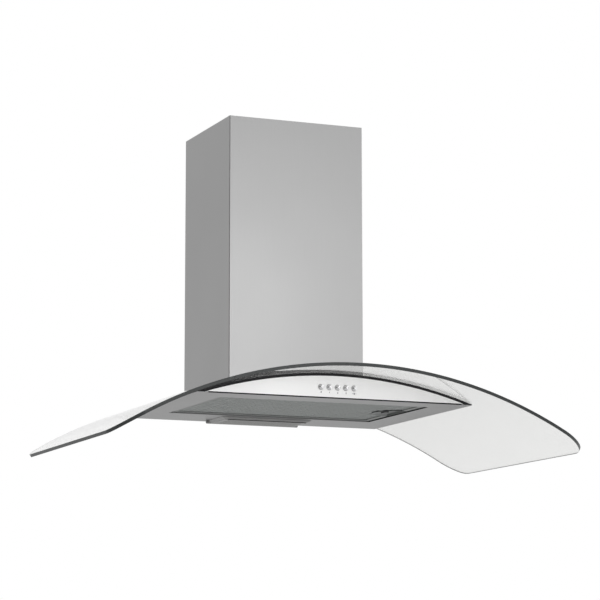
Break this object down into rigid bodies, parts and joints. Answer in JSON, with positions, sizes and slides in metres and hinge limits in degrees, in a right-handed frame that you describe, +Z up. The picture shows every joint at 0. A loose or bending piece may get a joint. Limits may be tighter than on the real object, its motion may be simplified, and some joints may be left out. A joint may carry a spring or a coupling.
{
  "type": "curved glass range hood",
  "caption": "Wall chimney hood: arched clear glass canopy over a shallow stainless body with push buttons, grease filter and telescoping chimney.",
  "frame": {"origin": "on the wall plane, at the middle of the hood's width, level with its underside", "axes": "+X to the right of a person facing the hood, +Y into the wall, +Z up the chimney"},
  "size_m": [0.9, 0.53, 0.6317],
  "materials": {
    "brushed_stainless": "brushed stainless steel",
    "fascia_stainless": "bright satin stainless steel",
    "clear_glass": "clear toughened glass, polished edges",
    "black_seal": "black EPDM",
    "bright_chrome": "polished chrome",
    "zinc_steel": "galvanised sheet steel",
    "zinc_fastener": "zinc-plated steel",
    "spring_steel": "bright spring steel",
    "filter_aluminium": "satin aluminium",
    "black_plastic": "moulded flame-retardant plastic, black",
    "grey_plastic": "moulded plastic, grey",
    "white_plastic": "heat-resistant moulding, white",
    "lamp_diffuser": "translucent polycarbonate",
    "bulb_glass": "frosted lamp glass",
    "green_board": "circuit board",
    "grey_cable": "sleeved wiring"
  },
  "bodies": {
    "hood": {"glass_canopy": "clear_glass", "glass_seal_front": "black_seal", "glass_seal_rear": "black_seal", "glass_sleeves": "black_seal", "cord_grommet": "black_seal", "glass_bolts": "bright_chrome", "glass_nuts": "zinc_fastener", "hood_body": "brushed_stainless", "chimney_cover": "brushed_stainless", "fascia": "fascia_stainless", "fascia_nuts": "zinc_fastener", "switch_housing": "black_plastic", "switch_board": "green_board", "switch_screws": "zinc_fastener", "lamp_tray": "zinc_steel", "lampholders": "white_plastic", "lamp_caps": "zinc_fastener", "lamp_bulbs": "bulb_glass", "chimney_angles": "zinc_steel", "chimney_screws": "zinc_fastener", "blower_box": "zinc_steel", "scroll_left": "black_plastic", "scroll_right": "black_plastic", "blower_screws": "zinc_fastener", "motor_case": "zinc_steel", "motor_bracket": "zinc_steel", "capacitor": "white_plastic", "capacitor_clip": "zinc_steel", "terminal_box": "grey_plastic", "terminal_lid": "grey_plastic", "outlet_collar": "grey_plastic", "flap_pin": "zinc_fastener", "wall_bracket": "zinc_steel", "wiring_loom": "grey_cable", "button_spring_1": "spring_steel", "button_spring_2": "spring_steel", "button_spring_3": "spring_steel", "button_spring_4": "spring_steel", "button_spring_5": "spring_steel"},
    "chimney_section": {"chimney_upper": "brushed_stainless", "chimney_bracket": "zinc_steel", "bracket_screws": "zinc_fastener"},
    "fan": {"impeller": "black_plastic", "motor_shaft": "zinc_fastener", "impeller_nut": "zinc_fastener"},
    "front_flap": {"flap_front": "grey_plastic"},
    "rear_flap": {"flap_rear": "grey_plastic"},
    "grease_filter": {"filter_frame": "filter_aluminium", "filter_mesh_lower": "filter_aluminium", "filter_core": "filter_aluminium", "filter_mesh_upper": "filter_aluminium", "filter_cup": "filter_aluminium", "latch_guide": "filter_aluminium"},
    "filter_catch": {"filter_latch": "black_plastic"},
    "lamp_door": {"lamp_cover": "lamp_diffuser"},
    "push_button_1": {"button_1": "bright_chrome"},
    "push_button_2": {"button_2": "bright_chrome"},
    "push_button_3": {"button_3": "bright_chrome"},
    "push_button_4": {"button_4": "bright_chrome"},
    "push_button_5": {"button_5": "bright_chrome"}
  },
  "joints": [
    {"name": "chimney_slide", "type": "slide", "parent": "hood", "child": "chimney_section", "axis": [0, 0, 1], "range_m": [0, 0.33]},
    {"name": "fan_spin", "type": "hinge", "parent": "hood", "child": "fan", "pos_m": [0, -0.118, 0.15], "axis": [1, 0, 0], "continuous": true},
    {"name": "front_flap_hinge", "type": "hinge", "parent": "hood", "child": "front_flap", "pos_m": [0, -0.137, 0.338], "axis": [-1, 0, 0], "range_deg": [0, 75]},
    {"name": "rear_flap_hinge", "type": "hinge", "parent": "hood", "child": "rear_flap", "pos_m": [0, -0.137, 0.338], "axis": [1, 0, 0], "range_deg": [0, 75]},
    {"name": "filter_hinge", "type": "hinge", "parent": "hood", "child": "grease_filter", "pos_m": [-0.196, -0.24, 0.00625], "axis": [0, 1, 0], "range_deg": [0, 75]},
    {"name": "filter_catch_slide", "type": "slide", "parent": "grease_filter", "child": "filter_catch", "axis": [1, 0, 0], "range_m": [0, 0.0045]},
    {"name": "lamp_cover_hinge", "type": "hinge", "parent": "hood", "child": "lamp_door", "pos_m": [0, -0.0146, -0.003], "axis": [1, 0, 0], "range_deg": [0, 80]},
    {"name": "button_1_push", "type": "slide", "parent": "hood", "child": "push_button_1", "axis": [0, 1, 0], "range_m": [0, 0.003], "stiffness_N_per_m": 300, "deforming": ["button_spring_1"]},
    {"name": "button_2_push", "type": "slide", "parent": "hood", "child": "push_button_2", "axis": [0, 1, 0], "range_m": [0, 0.003], "stiffness_N_per_m": 300, "deforming": ["button_spring_2"]},
    {"name": "button_3_push", "type": "slide", "parent": "hood", "child": "push_button_3", "axis": [0, 1, 0], "range_m": [0, 0.003], "stiffness_N_per_m": 300, "deforming": ["button_spring_3"]},
    {"name": "button_4_push", "type": "slide", "parent": "hood", "child": "push_button_4", "axis": [0, 1, 0], "range_m": [0, 0.003], "stiffness_N_per_m": 300, "deforming": ["button_spring_4"]},
    {"name": "button_5_push", "type": "slide", "parent": "hood", "child": "push_button_5", "axis": [0, 1, 0], "range_m": [0, 0.003], "stiffness_N_per_m": 300, "deforming": ["button_spring_5"]}
  ]
}
